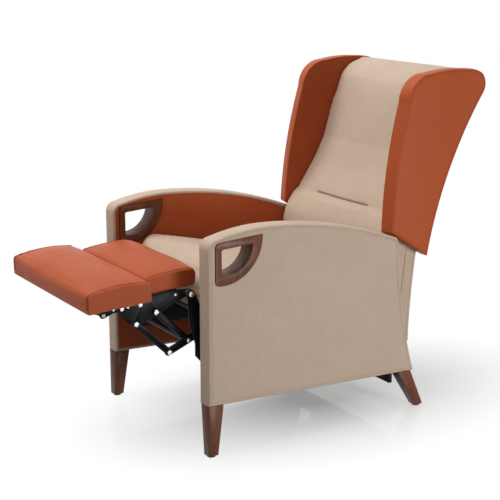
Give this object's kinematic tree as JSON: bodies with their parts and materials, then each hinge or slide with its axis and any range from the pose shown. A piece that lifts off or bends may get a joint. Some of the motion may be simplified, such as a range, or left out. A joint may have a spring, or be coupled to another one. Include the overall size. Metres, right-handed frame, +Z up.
{
  "type": "push-back recliner",
  "caption": "Wing-back recliner with upholstered arms, fold-out footrest on a parallel link mechanism, reclining back, hand grips through the arms and tapered wooden legs.",
  "frame": {"origin": "on the floor, in the middle plane, half-way between the footrest's tip and the back's rearmost point, with the footrest out and the back upright", "axes": "+Z up, the sitter faces -Y, +X to the sitter's left"},
  "size_m": [0.664, 1.4098, 1.0957],
  "materials": {
    "beige_leather": "fine-grained beige leatherette on foam, satin",
    "rust_leather": "fine-grained rust-coloured leatherette on foam, satin",
    "back_cover": "beige leatherette drawn over a hardboard panel",
    "walnut": "solid wood, walnut stain, satin lacquer",
    "beech_ply": "unfinished beech plywood",
    "black_steel": "black powder coat, semi-gloss",
    "zinc_steel": "bright zinc plate",
    "nylon": "moulded black nylon",
    "elastic_webbing": "woven elastic webbing"
  },
  "bodies": {
    "base": {"arm_board_left": "beech_ply", "arm_board_right": "beech_ply", "arm_edge_band_left": "beige_leather", "arm_edge_band_right": "beige_leather", "arm_inner_pad_left": "rust_leather", "arm_inner_pad_right": "rust_leather", "arm_outer_pad_left": "beige_leather", "arm_outer_pad_right": "beige_leather", "grip_frame_left": "walnut", "grip_frame_right": "walnut", "front_leg_left": "walnut", "front_leg_right": "walnut", "rear_leg_left": "walnut", "rear_leg_right": "walnut", "leg_bolts": "zinc_steel", "leg_glides": "nylon", "front_cross_rail": "beech_ply", "rear_cross_rail": "black_steel", "corner_brackets": "black_steel", "seat_runner_left": "black_steel", "seat_runner_right": "black_steel"},
    "carriage": {"side_plate_left": "black_steel", "side_plate_right": "black_steel", "slide_blocks": "nylon", "footrest_hinge_pins": "zinc_steel", "recline_hinge_pins": "zinc_steel", "seat_side_rails": "beech_ply", "seat_cross_rails": "beech_ply", "seat_webbing": "elastic_webbing", "seat_deck": "beech_ply", "seat_cushion": "beige_leather"},
    "crank": {"crank_arm_left": "black_steel", "crank_arm_right": "black_steel", "torque_tube": "black_steel", "crank_cross_tube": "black_steel", "crank_rivets": "zinc_steel"},
    "lower_struts": {"lower_strut_left": "black_steel", "lower_strut_right": "black_steel"},
    "upper_struts": {"upper_strut_left": "black_steel", "upper_strut_right": "black_steel"},
    "footrest": {"footrest_bracket_left": "black_steel", "footrest_bracket_right": "black_steel", "footrest_cross_tube": "black_steel", "bracket_rivets": "zinc_steel", "outer_pad_board": "beech_ply", "inner_pad_board": "beech_ply", "footrest_outer_pad": "rust_leather", "footrest_inner_pad": "rust_leather"},
    "back": {"back_cheek_left": "back_cover", "back_cheek_right": "back_cover", "back_side_panels": "back_cover", "back_cross_rails": "beech_ply", "rear_panel": "back_cover", "back_webbing": "elastic_webbing", "recline_brackets": "black_steel", "lumbar_pillow": "beige_leather", "back_cushion": "beige_leather", "wing_pad_left": "rust_leather", "wing_pad_right": "rust_leather", "wing_boards": "beech_ply"}
  },
  "joints": [
    {"name": "seat_glide", "type": "slide", "parent": "base", "child": "carriage", "axis": [0, 1, 0], "range_m": [0, 0.0702]},
    {"name": "footrest_fold", "type": "hinge", "parent": "carriage", "child": "footrest", "pos_m": [0, -0.3607, 0.488], "axis": [1, 0, 0], "range_deg": [0, 90]},
    {"name": "crank_turn", "type": "hinge", "parent": "carriage", "child": "crank", "pos_m": [0, -0.2537, 0.384], "axis": [1, 0, 0], "range_deg": [0, 90.2]},
    {"name": "lower_strut_turn", "type": "hinge", "parent": "crank", "child": "lower_struts", "pos_m": [0, -0.4257, 0.316], "axis": [1, 0, 0], "range_deg": [-90.2, 0]},
    {"name": "upper_strut_turn", "type": "hinge", "parent": "crank", "child": "upper_struts", "pos_m": [0, -0.36034, 0.34184], "axis": [1, 0, 0], "range_deg": [-90.2, 0]},
    {"name": "back_recline", "type": "hinge", "parent": "carriage", "child": "back", "pos_m": [0, 0.3373, 0.4], "axis": [-1, 0, 0], "range_deg": [0, 30]}
  ],
  "couplings": [
    {"joint": "crank_turn", "follows": "footrest_fold", "ratio": 1},
    {"joint": "lower_strut_turn", "follows": "footrest_fold", "ratio": -1},
    {"joint": "upper_strut_turn", "follows": "footrest_fold", "ratio": -1},
    {"joint": "seat_glide", "follows": "footrest_fold", "m_per_rad": 0.044563}
  ]
}
